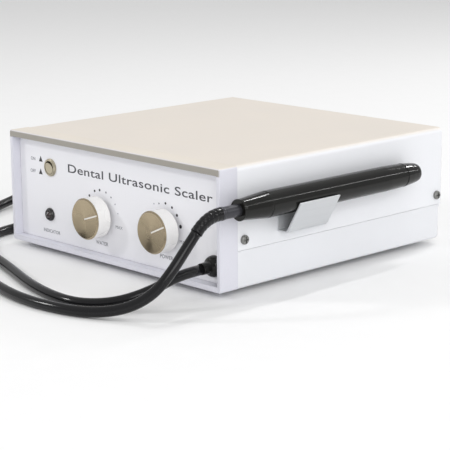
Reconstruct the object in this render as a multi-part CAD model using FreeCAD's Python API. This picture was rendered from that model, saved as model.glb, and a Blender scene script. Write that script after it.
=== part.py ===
import FreeCAD, Part
import math
import os

# Desktop ultrasonic scaler for dental cleaning, in millimetres.
# Frame: +Z up, the front panel faces -Y, the handpiece hangs on the +X side.
# The origin is the middle of the cabinet's footprint, on the plane its feet stand on.

V = FreeCAD.Vector
X, Y, Z = V(1, 0, 0), V(0, 1, 0), V(0, 0, 1)

# ---- driving dimensions: cabinet ----
HOUSING_W = 196.0       # outside width, along X
HOUSING_D = 196.0       # outside depth, along Y
HOUSING_H = 72.0        # outside height, without the feet
FOOT_H = 4.0            # height of the rubber feet under the cabinet
FOOT_RECESS = 2.3       # depth of the recess for the screw under each foot
SHEET = 1.2             # steel sheet of the cover and the tray
BEND_R = 3.5            # outside radius of the cover's two long bends
SEAM_Z = FOOT_H + 22.5  # level of the seam between cover and tray
SEAM_GAP = 0.15         # open seam between cover and tray

SIDE = HOUSING_W / 2
FRONT = -HOUSING_D / 2
BACK = HOUSING_D / 2
BASE = FOOT_H
TOP = FOOT_H + HOUSING_H

# ---- driving dimensions: front bezel and panel ----
BEZEL_D = 14.0          # depth of the moulded front frame
BEZEL_RIM = 2.6         # rim width at the sides
BEZEL_HEAD = 4.2        # rim width at the top
BEZEL_SILL = 3.4        # rim width at the bottom
RECESS = 6.0            # the panel's face lies this far behind the rim
LABEL_T = 0.3           # printed overlay on the panel
PANEL_T = 1.5           # aluminium panel behind the overlay
LEDGE_T = 3.0           # ledge that the panel is seated on
LEDGE_W = 5.0
SKIRT_L = 6.0           # spigot of the bezel inside the cover and tray
SKIRT_T = 1.8
PANEL_FIT = 0.2         # all round between the panel and the frame

PANEL_FACE = FRONT + RECESS
LABEL_BACK = PANEL_FACE + LABEL_T
PANEL_BACK = LABEL_BACK + PANEL_T
BEZEL_BACK = FRONT + BEZEL_D

# ---- driving dimensions: controls on the front panel, as (x, z) ----
WATER_AT = (-14.8, 31.0)
POWER_AT = (46.9, 32.6)
SWITCH_AT = (-63.8, 54.8)
LAMP_AT = (-65.4, 24.2)
GLAND_AT = (87.3, 17.6)
GLAND_DOME_R = 6.4
GLAND_DOME_H = 4.6
GLAND_DOME_START = 15.0     # degrees round the dome at which the sleeve leaves it
GLAND_DOME_SHARE = 0.9      # share of the dome's height that is rounded
GLAND_DOME_STEPS = 5
GLAND_SLEEVE_WALL = 0.3
KNOB_R = 12.85
KNOB_H = 10.5
KNOB_GAP = 2.5          # from the panel's face to the knob's base
SHAFT_R = 3.0           # control shafts
RUN_FIT = 0.05          # radial clearance of a turning shaft in its bushing
WATER_POINTER = 18.0    # angle of the pointer above +X at rest, in degrees
POWER_POINTER = 24.0
VALVE_BUSHING_R = 5.0   # threaded barrels that pass through the panel
POT_BUSHING_R = 3.5
SWITCH_BARREL_R = 5.0
LAMP_BARREL_R = 3.25
GLAND_BARREL_R = 5.0
SNUG = 0.05             # radial clearance of such a barrel in its hole and its nut

# ---- driving dimensions: M3 pan-head screws ----
M3_R = 1.5
M3_HOLE_R = 1.55
M3_HEAD_R = 2.8
M3_HEAD_H = 1.9

# ---- driving dimensions: handpiece and its holder ----
PEN_X = 107.1           # handpiece axis, parallel to Y
PEN_Z = 53.3
PEN_R = 7.9
PEN_TAIL = -92.5        # rear end of the rear collar
BODY_TAIL = -91.0       # rear end of the body, against the collar
CONE_END = -72.0        # front end of the body's tapered tail
PEN_NOSE = 61.0         # front end of the nose cap
CAP_Y = 46.5            # joint between body and nose cap
ADAPTER_END = -106.5    # rear end of the metal tail piece
INSERT_R = 4.3          # bore that takes the ultrasonic insert
BOOT_BEND_R = 24.0      # the flexible boot droops along this arc
BOOT_SWEEP = 44.0
HOLDER_Y0 = -52.0       # front and rear end of the holder strip
HOLDER_Y1 = -18.7
HOLDER_T = 0.8          # its thickness
HOLDER_FLOOR = 33.2     # underside of its floor
HOLDER_TOP = 56.0       # top of its back plate
LIP_FOOT = (107.0, 34.6)   # outer face of the flared lip: bottom, as (x, z)
LIP_HEAD = (117.0, 52.1)   # and top

# ---- driving dimensions: handpiece cord ----
CORD_D = 6.2
FLOOR_Z = CORD_D / 2 + 0.05   # height of the cord's centre where it lies
COIL_AT = (-157.0, 30.0)      # centre of the put-away coil, as (x, y)
COIL_RADII = (27.0, 33.2, 39.4)   # centre lines of the turns in one layer
COIL_LAYERS = 2

# The route from the gland: down to the table, along the front, round the corner to the coil.
GLAND_RUN = [
    (87.3, -103.0, 17.4),
    (87.3, -120.0, 17.4),
    (85.0, -138.0, 11.3),
    (74.0, -153.0, 5.6),
    (57.0, -163.0, FLOOR_Z),
    (38.0, -166.0, FLOOR_Z),
    (4.0, -160.0, FLOOR_Z),
    (-44.0, -142.0, FLOOR_Z),
    (-90.0, -128.0, FLOOR_Z),
    (-118.0, -106.0, FLOOR_Z),
    (-128.0, -72.0, FLOOR_Z),
    (-125.0, -38.0, FLOOR_Z),
    (-119.6, -8.0, FLOOR_Z),
    (-117.6, 18.0, FLOOR_Z),
]
# The route from the coil back round the corner, along the front and up to the handpiece's boot.
HANDPIECE_RUN = [
    (-196.4, 16.0, FLOOR_Z + CORD_D),
    (-197.0, -8.0, FLOOR_Z + 5.0),
    (-191.0, -38.0, FLOOR_Z + 0.8),
    (-173.0, -76.0, FLOOR_Z),
    (-143.0, -109.0, FLOOR_Z),
    (-104.0, -134.0, FLOOR_Z),
    (-62.0, -156.0, FLOOR_Z),
    (-20.0, -172.0, FLOOR_Z),
    (20.0, -181.0, FLOOR_Z),
    (53.0, -179.0, FLOOR_Z),
    (74.5, -171.5, 3.4),
    (90.0, -161.0, 6.4),
    (100.5, -150.8, 14.2),
    (105.8, -141.6, 26.3),
]


# ---- helpers ----

def box(x0, y0, z0, x1, y1, z1):
    """A block between two opposite corners."""
    return Part.makeBox(x1 - x0, y1 - y0, z1 - z0, V(x0, y0, z0))


def rod(r, x, z, y0, y1):
    """A cylinder parallel to Y from y0 to y1."""
    return Part.makeCylinder(r, y1 - y0, V(x, y0, z), Y)


def post(r, x, y, z0, z1):
    """An upright cylinder from z0 to z1."""
    return Part.makeCylinder(r, z1 - z0, V(x, y, z0), Z)


def turned(x, z, profile):
    """A solid of revolution about the line through (x, z) parallel to Y; profile is (y, r) points."""
    points = [V(x + r, y, z) for y, r in profile]
    face = Part.Face(Part.makePolygon(points + points[:1]))
    return face.revolve(V(x, 0, z), Y, 360)


def hexagon(x, z, across_flats, y0, y1):
    """A hexagonal prism parallel to Y."""
    radius = across_flats / 2 / math.cos(math.pi / 6)
    corners = [(x + radius * math.cos(math.radians(60 * i)), z + radius * math.sin(math.radians(60 * i)))
               for i in range(6)]
    points = [V(cx, y0, cz) for cx, cz in corners]
    return Part.Face(Part.makePolygon(points + points[:1])).extrude(V(0, y1 - y0, 0))


def edges_along(shape, axis, test=None):
    """The straight edges parallel to axis, and for which test(midpoint) holds."""
    chosen = []
    for edge in shape.Edges:
        if not isinstance(edge.Curve, (Part.Line, Part.LineSegment)):
            continue
        if abs(edge.tangentAt(edge.FirstParameter).dot(axis)) < 0.999:
            continue
        if test is None or test(edge.CenterOfMass):
            chosen.append(edge)
    return chosen


def fuse_all(shapes):
    return shapes[0].multiFuse(shapes[1:]).removeSplitter()


def save(name, shape):
    """Write one sub-part and print its size."""
    solids = shape.Solids
    group = solids[0] if len(solids) == 1 else Part.makeCompound(solids)
    if not group.isValid():
        print("NOT VALID", name)
    group.exportStep("parts/%s.step" % name)
    size = group.optimalBoundingBox(False)
    print("%-22s solids %d  volume %9.1f  x %7.1f..%6.1f  y %7.1f..%6.1f  z %5.1f..%5.1f" % (
        name, len(solids), group.Volume, size.XMin, size.XMax, size.YMin, size.YMax, size.ZMin, size.ZMax))


def rounded_wire(points):
    """Straight runs joined by tangent arcs, each as large as 0.45 of the shorter run allows."""
    spots = [V(*p) for p in points]
    edges = []
    radii = []
    start = spots[0]
    for before, corner, after in zip(spots, spots[1:], spots[2:]):
        into = corner - before
        out = after - corner
        half_turn = into.getAngle(out) / 2
        reach = 0.45 * min(into.Length, out.Length)
        radius = reach / math.tan(half_turn)
        radii.append(radius)
        first = corner - V(into).normalize() * reach
        last = corner + V(out).normalize() * reach
        inward = (V(out).normalize() - V(into).normalize()).normalize()
        middle = corner + inward * (radius / math.cos(half_turn) - radius)
        edges.append(Part.LineSegment(start, first).toShape())
        edges.append(Part.Arc(first, middle, last).toShape())
        start = last
    edges.append(Part.LineSegment(start, spots[-1]).toShape())
    return Part.Wire(edges), radii


def tube(name, points, diameter):
    """A round tube along the rounded route; prints its bend radii and checks its volume."""
    wire, radii = rounded_wire(points)
    direction = V(*points[1]) - V(*points[0])
    section = Part.Wire(Part.makeCircle(diameter / 2, V(*points[0]), direction))
    shape = wire.makePipeShell([section], True, False)
    expected = math.pi * (diameter / 2) ** 2 * wire.Length
    print("%-22s length %.1f  tightest bend %.1f (%.1f diameters)  volume ratio %.4f  radii %s" % (
        name, wire.Length, min(radii), min(radii) / diameter, shape.Volume / expected,
        " ".join("%.0f" % r for r in radii)))
    save(name, shape)
    return wire.Length


def pan_screw(at, direction, length):
    """An M3 pan-head screw: at is the point under the head, direction points along the shank."""
    along = V(direction).normalize()
    crest = at - along * M3_HEAD_H
    head = Part.makeCylinder(M3_HEAD_R, M3_HEAD_H, crest, along)
    rim = [edge for edge in head.Edges
           if isinstance(edge.Curve, Part.Circle) and (edge.CenterOfMass - at).Length > M3_HEAD_H / 2]
    head = head.makeFillet(1.14, rim)
    slot_l, slot_w, slot_depth = 3.8, 0.9, 1.05
    slot = Part.makeBox(slot_l, slot_w, slot_depth, V(-slot_l / 2, -slot_w / 2, 0))
    cross = slot.fuse(slot.copy().rotate(V(), Z, 90))
    cross.Placement = FreeCAD.Placement(crest, FreeCAD.Rotation(Z, along))
    shank = Part.makeCylinder(M3_R, length, at, along)
    return head.cut(cross).fuse(shank).removeSplitter()


# ---- places that several sub-parts share ----
SCREW_Z = BASE + 28.7
FRONT_SCREWS = [(side, FRONT + 19.0, SCREW_Z) for side in (-1, 1)]      # side, y, z
COVER_SCREWS = FRONT_SCREWS + [(side, BACK - 5.0, SCREW_Z) for side in (-1, 1)]
RIVETS = [(HOLDER_Y0 + 8.0, 50.0), (HOLDER_Y1 - 8.0, 50.0)]             # y, z
FOOT_AT = 72.0          # distance of each foot from the middle, along X and along Y
FEET = [(x, y) for x in (-FOOT_AT, FOOT_AT) for y in (-FOOT_AT, FOOT_AT)]
BEZEL_SCREWS = [(-60.0, BEZEL_BACK + 3.0), (60.0, BEZEL_BACK + 3.0)]
REAR_FACE = BACK - 0.4  # outside and inside of the rear wall
REAR_IN = REAR_FACE - SHEET
FLOOR_IN = BASE + SHEET # top of the tray's floor

# Rear fittings, as (x, z) on the rear wall.
MAINS_AT = (-62.0, 42.0)
FUSE_AT = (-24.0, 42.0)
JACK_AT = (14.0, 42.0)
INLET_AT = (55.0, 18.0)

# Circuit board on four standoffs.
BOARD = (-18.0, -44.0, 88.0, 40.0)      # x0, y0, x1, y1
BOARD_Z = FLOOR_IN + 8.0
BOARD_T = 1.6
BOARD_HOLES = [(x, y) for x in (BOARD[0] + 5, BOARD[2] - 5) for y in (BOARD[1] + 5, BOARD[3] - 5)]

# Mains transformer standing on the tray, left of the board.
CORE = (-86.0, 10.0, -32.0, 50.0)       # x0, y0, x1, y1
CORE_H = 45.0

# Water solenoid valve, behind the board.
VALVE = (44.0, 64.0, 66.0, 86.0)        # x0, y0, x1, y1
VALVE_H = 20.0
VALVE_MID = ((VALVE[0] + VALVE[2]) / 2, (VALVE[1] + VALVE[3]) / 2)


# ---- cabinet ----

def front_bezel():
    """Moulded frame with a ledge for the panel, and a spigot that fits inside the cover and the tray."""
    block = box(-SIDE, FRONT, BASE, SIDE, BEZEL_BACK, TOP)
    block = block.makeFillet(1.4, edges_along(block, Y))
    front_edges = [e for e in block.Edges if abs(e.CenterOfMass.y - FRONT) < 0.01]
    block = block.makeChamfer(0.5, front_edges)
    x_in = SIDE - BEZEL_RIM
    z_low, z_high = BASE + BEZEL_SILL, TOP - BEZEL_HEAD
    pocket = box(-x_in, FRONT - 1, z_low, x_in, PANEL_BACK, z_high)
    window = box(-x_in + LEDGE_W, FRONT, z_low + LEDGE_W, x_in - LEDGE_W, BEZEL_BACK, z_high - LEDGE_W)
    hollow = box(-x_in, PANEL_BACK + LEDGE_T, z_low, x_in, BEZEL_BACK, z_high)
    inset = SHEET + 0.25
    skirt_x = SIDE - inset
    skirt = box(-skirt_x, BEZEL_BACK - 1, BASE + inset, skirt_x, BEZEL_BACK + SKIRT_L, TOP - inset)
    skirt = skirt.makeFillet(2.0, edges_along(skirt, Y))
    skirt_hole = box(-skirt_x + SKIRT_T, BEZEL_BACK - 2, BASE + inset + SKIRT_T,
                     skirt_x - SKIRT_T, BEZEL_BACK + SKIRT_L + 1, TOP - inset - SKIRT_T)
    bosses = [box(x - 4, BEZEL_BACK - 1, BASE + inset, x + 4, BEZEL_BACK + SKIRT_L, BASE + 10)
              for x, _ in BEZEL_SCREWS]
    shape = block.cut(pocket).cut(window).cut(hollow)
    shape = fuse_all([shape, skirt.cut(skirt_hole)] + bosses)
    for x, y in BEZEL_SCREWS:
        shape = shape.cut(post(M3_HOLE_R, x, y, BASE, BASE + 9))
    for side, y, z in FRONT_SCREWS:
        shape = shape.cut(Part.makeCylinder(M3_HOLE_R, 8, V(side * SIDE - 4, y, z), X))
    nut_room = rod(8.0, GLAND_AT[0], GLAND_AT[1], PANEL_BACK, PANEL_BACK + LEDGE_T + 1)
    return shape.cut(nut_room)


def panel_blank(y0, y1):
    """The panel's outline, with the holes for everything that is fitted to it."""
    x_in = SIDE - BEZEL_RIM - PANEL_FIT
    sheet = box(-x_in, y0, BASE + BEZEL_SILL + PANEL_FIT, x_in, y1, TOP - BEZEL_HEAD - PANEL_FIT)
    holes = ((WATER_AT, VALVE_BUSHING_R), (POWER_AT, POT_BUSHING_R), (SWITCH_AT, SWITCH_BARREL_R),
             (LAMP_AT, LAMP_BARREL_R), (GLAND_AT, GLAND_BARREL_R))
    for (x, z), radius in holes:
        sheet = sheet.cut(rod(radius + SNUG, x, z, y0 - 1, y1 + 1))
    return sheet


def top_cover():
    """Sheet bent down at both sides, drilled for its screws and for the holder's rivets."""
    outer = box(-SIDE, BEZEL_BACK, SEAM_Z, SIDE, REAR_FACE, TOP)
    outer = outer.makeFillet(BEND_R, edges_along(outer, Y, lambda p: p.z > TOP - 1))
    inner = box(-SIDE + SHEET, BEZEL_BACK - 1, SEAM_Z - 1, SIDE - SHEET, BACK + 1, TOP - SHEET)
    inner = inner.makeFillet(BEND_R - SHEET, edges_along(inner, Y, lambda p: p.z > TOP - 2 * SHEET))
    shape = outer.cut(inner)
    for side, y, z in COVER_SCREWS:
        shape = shape.cut(Part.makeCylinder(M3_HOLE_R + 0.15, 6, V(side * SIDE - 3, y, z), X))
    for y, z in RIVETS:
        shape = shape.cut(Part.makeCylinder(M3_HOLE_R, 6, V(SIDE - 3, y, z), X))
    return shape


def chassis_tray():
    """Floor, low side walls and full rear wall; joggled flanges stand inside the cover's sides."""
    wall_top = SEAM_Z - SEAM_GAP
    outer = box(-SIDE, BEZEL_BACK, BASE, SIDE, REAR_FACE, wall_top)
    outer = outer.makeFillet(2.0, edges_along(outer, Y, lambda p: p.z < BASE + 1))
    rear_edge = [e for e in outer.Edges
                 if abs(e.CenterOfMass.y - REAR_FACE) < 1
                 and e.CenterOfMass.z < BASE + 1 and e.Length > SIDE]
    outer = outer.makeFillet(3.6, rear_edge)
    inner = box(-SIDE + SHEET, BEZEL_BACK - 1, FLOOR_IN, SIDE - SHEET, REAR_IN, wall_top + 1)
    inner = inner.makeFillet(0.8, edges_along(inner, Y, lambda p: p.z < FLOOR_IN + 1))
    inner_rear = [e for e in inner.Edges
                  if abs(e.CenterOfMass.y - REAR_IN) < 1
                  and e.CenterOfMass.z < FLOOR_IN + 1 and e.Length > SIDE]
    inner = inner.makeFillet(2.4, inner_rear)
    rear_x = SIDE - SHEET
    rear_wall = box(-rear_x, REAR_IN, wall_top - 2, rear_x, REAR_FACE, TOP - SHEET - 0.3)
    rear_wall = rear_wall.makeFillet(2.8, edges_along(rear_wall, Y, lambda p: p.z > SEAM_Z))
    lower = outer.cut(inner)
    flanges = []
    for side in (-1, 1):
        x0, x1 = sorted((side * rear_x, side * (rear_x - SHEET)))
        flanges.append(box(x0, BEZEL_BACK + SKIRT_L + 2, 16.0, x1, REAR_IN, 46.0))
    shape = fuse_all([lower, rear_wall] + flanges)
    cuts = [rod(6.1, FUSE_AT[0], FUSE_AT[1], REAR_IN - 2, REAR_FACE + 2),
            rod(4.6, JACK_AT[0], JACK_AT[1], REAR_IN - 2, REAR_FACE + 2),
            rod(4.1, INLET_AT[0], INLET_AT[1], REAR_IN - 2, REAR_FACE + 2),
            box(MAINS_AT[0] - 13.7, REAR_IN - 2, MAINS_AT[1] - 10.0,
                MAINS_AT[0] + 13.7, REAR_FACE + 2, MAINS_AT[1] + 10.0)]
    for side, y, z in COVER_SCREWS:
        cuts.append(Part.makeCylinder(M3_HOLE_R, 8, V(side * SIDE - 4, y, z), X))
    for x, y in FEET + BEZEL_SCREWS + BOARD_HOLES + CORE_SCREWS:
        cuts.append(post(M3_HOLE_R, x, y, BASE - 1, FLOOR_IN + 1))
    for hole in cuts:
        shape = shape.cut(hole)
    return shape


def housing_screws():
    """M3 pan heads, 5 mm long: four through the cover's skirts, two up into the bezel."""
    screws = [pan_screw(V(side * SIDE, y, z), V(-side, 0, 0), 5.0) for side, y, z in COVER_SCREWS]
    screws += [pan_screw(V(x, y, BASE), Z, 5.0) for x, y in BEZEL_SCREWS]
    return Part.makeCompound(screws)


def feet():
    """Four round rubber feet, each with a sunk hole for its screw."""
    pads = []
    for x, y in FEET:
        pad = Part.makeCone(8.0, 8.6, FOOT_H, V(x, y, 0), Z)
        recess = post(3.6, x, y, -1, FOOT_RECESS)
        pads.append(pad.cut(recess).cut(post(M3_HOLE_R, x, y, -1, FOOT_H + 1)))
    return Part.makeCompound(pads)


def chassis_screws():
    """M3 pan heads, 6 mm long: feet from below, circuit board and transformer from above."""
    spots = [(V(x, y, FOOT_RECESS), Z) for x, y in FEET]
    spots += [(V(x, y, BOARD_Z + BOARD_T), V(0, 0, -1)) for x, y in BOARD_HOLES]
    spots += [(V(x, y, CORE_Z), V(0, 0, -1)) for x, y in CORE_SCREWS]
    return Part.makeCompound([pan_screw(at, along, 6.0) for at, along in spots])


# ---- handpiece holder ----

def holder_bracket():
    """A strip bent into a back plate, a narrow floor and a lip that flares outwards."""
    (foot_x, foot_z), (head_x, head_z) = LIP_FOOT, LIP_HEAD
    span = math.hypot(head_x - foot_x, head_z - foot_z)
    inward = (-(head_z - foot_z) / span * HOLDER_T, (head_x - foot_x) / span * HOLDER_T)
    outline = [(SIDE, HOLDER_TOP), (SIDE, HOLDER_FLOOR), (foot_x - 1.6, HOLDER_FLOOR), (foot_x, foot_z),
               (head_x, head_z), (head_x + inward[0], head_z + inward[1]),
               (foot_x + inward[0] - 0.3, foot_z + inward[1] + 0.1),
               (foot_x - 2.0, HOLDER_FLOOR + HOLDER_T), (SIDE + HOLDER_T, HOLDER_FLOOR + HOLDER_T),
               (SIDE + HOLDER_T, HOLDER_TOP)]
    points = [V(x, HOLDER_Y0, z) for x, z in outline]
    strip = Part.Face(Part.makePolygon(points + points[:1])).extrude(V(0, HOLDER_Y1 - HOLDER_Y0, 0))
    bend = edges_along(strip, Y, lambda p: (abs(p.x - SIDE) < 0.01 and abs(p.z - HOLDER_FLOOR) < 0.01)
                       or (abs(p.x - foot_x) < 0.01 and abs(p.z - foot_z) < 0.01))
    strip = strip.makeFillet(0.8, bend)
    corner = box(foot_x + 1, HOLDER_Y1 - 5.0, foot_z - 5, head_x + 2, HOLDER_Y1 + 1, foot_z + 4.0)
    round_off = Part.makeCylinder(5.0, 20, V(foot_x - 2, HOLDER_Y1 - 5.0, foot_z + 4.0), X)
    strip = strip.cut(corner.cut(round_off))
    for y, z in RIVETS:
        strip = strip.cut(Part.makeCylinder(M3_HOLE_R, 4, V(SIDE - 1, y, z), X))
    return strip


def holder_rivets():
    """Two low blind rivets that hold the back plate to the cover."""
    rivets = []
    for y, z in RIVETS:
        stem = Part.makeCylinder(M3_R, HOLDER_T + SHEET + 1.2, V(SIDE - SHEET - 1.2, y, z), X)
        blind = Part.makeCylinder(2.4, 1.0, V(SIDE - SHEET - 1.2, y, z), X)
        rivets.append(stem.fuse(blind).removeSplitter())
    return Part.makeCompound(rivets)


# ---- front controls ----

def knob(at, pointer_deg):
    """A turned aluminium knob with a pointer groove, a nut recess and a bore for the shaft."""
    x, z = at
    base = PANEL_FACE - KNOB_GAP
    face = base - KNOB_H
    body = turned(x, z, [(base, 0), (base, KNOB_R - 0.4), (base - 0.4, KNOB_R), (face + 0.9, KNOB_R),
                         (face, KNOB_R - 0.9), (face, 0)])
    recess = rod(9.4, x, z, base - 2.7, base + 1)
    bore = rod(SHAFT_R + 0.02, x, z, base - 7.4, base + 1)
    groove = box(x, face - 1, z - 0.5, x + KNOB_R + 1, face + 0.5, z + 0.5)
    groove.rotate(V(x, 0, z), Y, -pointer_deg)
    set_hole = Part.makeCylinder(M3_HOLE_R, KNOB_R, V(x, base - 5.2, z), V(0, 0, -1))
    return body.cut(recess).cut(bore).cut(groove).cut(set_hole)


def set_screw(at):
    """M3 grub screw with a hexagon-key hole, in the knob's underside."""
    x, z = at
    y = PANEL_FACE - KNOB_GAP - 5.2
    screw = Part.makeCylinder(M3_R, 5.0, V(x, y, z - SHAFT_R - 0.1), V(0, 0, -1))
    socket = Part.makeCylinder(0.75, 1.5, V(x, y, z - SHAFT_R - 5.1), Z)
    return screw.cut(socket)


SHAFT_END = PANEL_FACE - KNOB_GAP - 7.2     # front end of the shafts, inside the knobs
BUSHING_END = PANEL_FACE - 3.4
NUT_FRONT = PANEL_FACE - 2.4


def panel_nut(at, across_flats, bushing_r):
    """Flat hexagon nut on a bushing, under the knob."""
    x, z = at
    nut = hexagon(x, z, across_flats, NUT_FRONT, PANEL_FACE)
    return nut.cut(rod(bushing_r + SNUG, x, z, NUT_FRONT - 1, PANEL_FACE + 1))


HOSE_R = 2.3                    # outside radius of the hoses and of the barbs that they meet
WATERWAY_R = 1.2
VALVE_TAIL = PANEL_BACK + 34.0  # end of the needle valve's rear barb
VALVE_ARM = 20.0                # reach of its side barb from its axis
VALVE_ARM_Y = PANEL_BACK + 12.0


def valve_body():
    """Brass needle valve: threaded bushing, round body and two hose barbs."""
    x, z = WATER_AT
    body = fuse_all([rod(VALVE_BUSHING_R, x, z, BUSHING_END, PANEL_BACK + 1),
                     rod(9.0, x, z, PANEL_BACK, PANEL_BACK + 22),
                     rod(HOSE_R, x, z, PANEL_BACK + 22, VALVE_TAIL),
                     Part.makeCylinder(HOSE_R, VALVE_ARM, V(x, VALVE_ARM_Y, z), X)])
    bore = rod(SHAFT_R + RUN_FIT, x, z, BUSHING_END - 1, PANEL_BACK + 14)
    waterway = rod(WATERWAY_R, x, z, PANEL_BACK + 10, VALVE_TAIL + 1)
    side_way = Part.makeCylinder(WATERWAY_R, VALVE_ARM + 1, V(x, VALVE_ARM_Y, z), X)
    return body.cut(bore).cut(waterway).cut(side_way)


def valve_stem():
    """Shaft that ends in the needle."""
    x, z = WATER_AT
    tip = PANEL_BACK + 12.5
    return turned(x, z, [(SHAFT_END, 0), (SHAFT_END, SHAFT_R), (tip - 3.5, SHAFT_R), (tip, 0.4), (tip, 0)])


def pot_body():
    """Potentiometer: round can, threaded bushing and three solder lugs."""
    x, z = POWER_AT
    can = rod(8.5, x, z, PANEL_BACK, PANEL_BACK + 10)
    lug_w, lug_t = 1.6, 0.6
    lug_y = PANEL_BACK + 3
    lugs = [box(x + dx - lug_w / 2, lug_y, z - 14, x + dx + lug_w / 2, lug_y + lug_t, z - 7)
            for dx in (-4, 0, 4)]
    shape = fuse_all([can, rod(POT_BUSHING_R, x, z, BUSHING_END, PANEL_BACK + 1)] + lugs)
    return shape.cut(rod(SHAFT_R + RUN_FIT, x, z, BUSHING_END - 1, PANEL_BACK + 8.3))


def pot_shaft():
    """Plain shaft of the potentiometer."""
    x, z = POWER_AT
    inner_end = PANEL_BACK + 8
    return turned(x, z, [(SHAFT_END, 0), (SHAFT_END, SHAFT_R), (inner_end, SHAFT_R), (inner_end, 0)])


SWITCH_PIVOT_Y = PANEL_FACE + 0.8
SWITCH_WELL_R = 4.3     # inside radius of the ring and of the well behind it
ROCKER_R = 3.7
ROCKER_TILT = 8.0       # the rocker leans this far each side of level
TRUNNION_R = 0.7
SWITCH_BODY_Y = PANEL_BACK + 0.7


def switch_ring():
    """Metal ring of the round rocker switch: flange on the panel, barrel through it."""
    x, z = SWITCH_AT
    front = PANEL_FACE - 1.4
    ring = turned(x, z, [(front, SWITCH_WELL_R), (front, 4.9), (front + 0.6, 5.65), (PANEL_FACE, 5.65),
                         (PANEL_FACE, SWITCH_BARREL_R), (SWITCH_BODY_Y, SWITCH_BARREL_R),
                         (SWITCH_BODY_Y, SWITCH_WELL_R)])
    return ring.cut(Part.makeCylinder(TRUNNION_R + RUN_FIT, 12, V(x - 6, SWITCH_PIVOT_Y, z), X))


def switch_rocker():
    """Round rocker with a dished front, its two trunnions and the short lever behind it."""
    x, z = SWITCH_AT
    front, back = SWITCH_PIVOT_Y - 3.0, SWITCH_PIVOT_Y + 1.0
    disc = rod(ROCKER_R, x, z, front, back)
    rim = [e for e in disc.Edges if isinstance(e.Curve, Part.Circle) and abs(e.CenterOfMass.y - front) < 0.01]
    disc = disc.makeFillet(0.6, rim)
    dish_r = 14.0
    dish = Part.makeCylinder(dish_r, 2 * ROCKER_R, V(x - ROCKER_R, front + 0.8 - dish_r, z), X)
    pin_reach = 4.6
    pins = Part.makeCylinder(TRUNNION_R, 2 * pin_reach, V(x - pin_reach, SWITCH_PIVOT_Y, z), X)
    lever = Part.makeCone(1.4, 0.9, 4.0, V(x, back - 0.5, z), Y)
    rocker = fuse_all([disc.cut(dish), pins, lever])
    return rocker.rotate(V(x, SWITCH_PIVOT_Y, z), X, ROCKER_TILT)


def switch_body():
    """Mains switch behind the panel, with a well for the rocker's lever and four blade terminals."""
    x, z = SWITCH_AT
    y0 = SWITCH_BODY_Y
    y1 = y0 + 20.0
    block = box(x - 7.5, y0, z - 7.0, x + 7.5, y1, z + 7.0)
    block = block.makeFillet(0.8, edges_along(block, Y))
    blade_w, blade_t, blade_l = 4.4, 0.8, 7.0
    blades = [box(x + dx - blade_w / 2, y1, z + dz - blade_t / 2, x + dx + blade_w / 2, y1 + blade_l,
                  z + dz + blade_t / 2)
              for dx in (-4, 4) for dz in (-4, 4)]
    return fuse_all([block] + blades).cut(rod(SWITCH_WELL_R, x, z, y0 - 1, y0 + 6))


LAMP_R = 2.5


def lamp_bezel():
    """Small turned metal ring round the indicator lamp."""
    x, z = LAMP_AT
    bore_r = LAMP_R + 0.1
    return turned(x, z, [(PANEL_FACE - 1.8, bore_r), (PANEL_FACE - 1.8, 3.4), (PANEL_FACE - 0.8, 4.15),
                         (PANEL_FACE, 4.15), (PANEL_FACE, LAMP_BARREL_R), (PANEL_BACK + 4, LAMP_BARREL_R),
                         (PANEL_BACK + 4, bore_r)])


def lamp_lens():
    """5 mm indicator lamp with two leads."""
    x, z = LAMP_AT
    dome_y = PANEL_FACE - 0.6
    dome = Part.makeSphere(LAMP_R, V(x, dome_y, z))
    dome = dome.common(rod(LAMP_R + 1, x, z, dome_y - LAMP_R - 1, dome_y))
    body = rod(LAMP_R, x, z, dome_y, PANEL_BACK + 3)
    leads = [rod(0.3, x + dx, z, PANEL_BACK + 2.9, PANEL_BACK + 12) for dx in (-1.27, 1.27)]
    return fuse_all([dome, body] + leads)


GLAND_INNER = PANEL_BACK + 6.0      # the gland's inner end, where its hose arrives


def cord_gland():
    """Rubber gland: thick dome against the panel, short tapered sleeve round the cord's start."""
    x, z = GLAND_AT
    start = GLAND_RUN[0][1]
    tip_r = CORD_D / 2 + GLAND_SLEEVE_WALL
    neck = 2 * GLAND_SLEEVE_WALL
    crest = PANEL_FACE - GLAND_DOME_H
    outline = [(start, 0), (start, tip_r), (crest - neck, tip_r + GLAND_SLEEVE_WALL)]
    for i in range(GLAND_DOME_STEPS + 1):
        angle = math.radians(GLAND_DOME_START + (90 - GLAND_DOME_START) * i / GLAND_DOME_STEPS)
        y = crest + GLAND_DOME_SHARE * GLAND_DOME_H * (1 - math.cos(angle))
        r = tip_r + neck + (GLAND_DOME_R - tip_r - neck) * math.sin(angle)
        outline.append((y, r))
    outline += [(PANEL_FACE, GLAND_DOME_R), (PANEL_FACE, GLAND_BARREL_R), (GLAND_INNER, GLAND_BARREL_R),
                (GLAND_INNER, 0)]
    return turned(x, z, outline)


def gland_nut():
    """Hexagon nut that holds the gland from inside."""
    x, z = GLAND_AT
    nut = hexagon(x, z, 13.0, PANEL_BACK, PANEL_BACK + 4)
    return nut.cut(rod(GLAND_BARREL_R + SNUG, x, z, PANEL_BACK - 1, PANEL_BACK + 5))


# ---- handpiece ----

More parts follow.
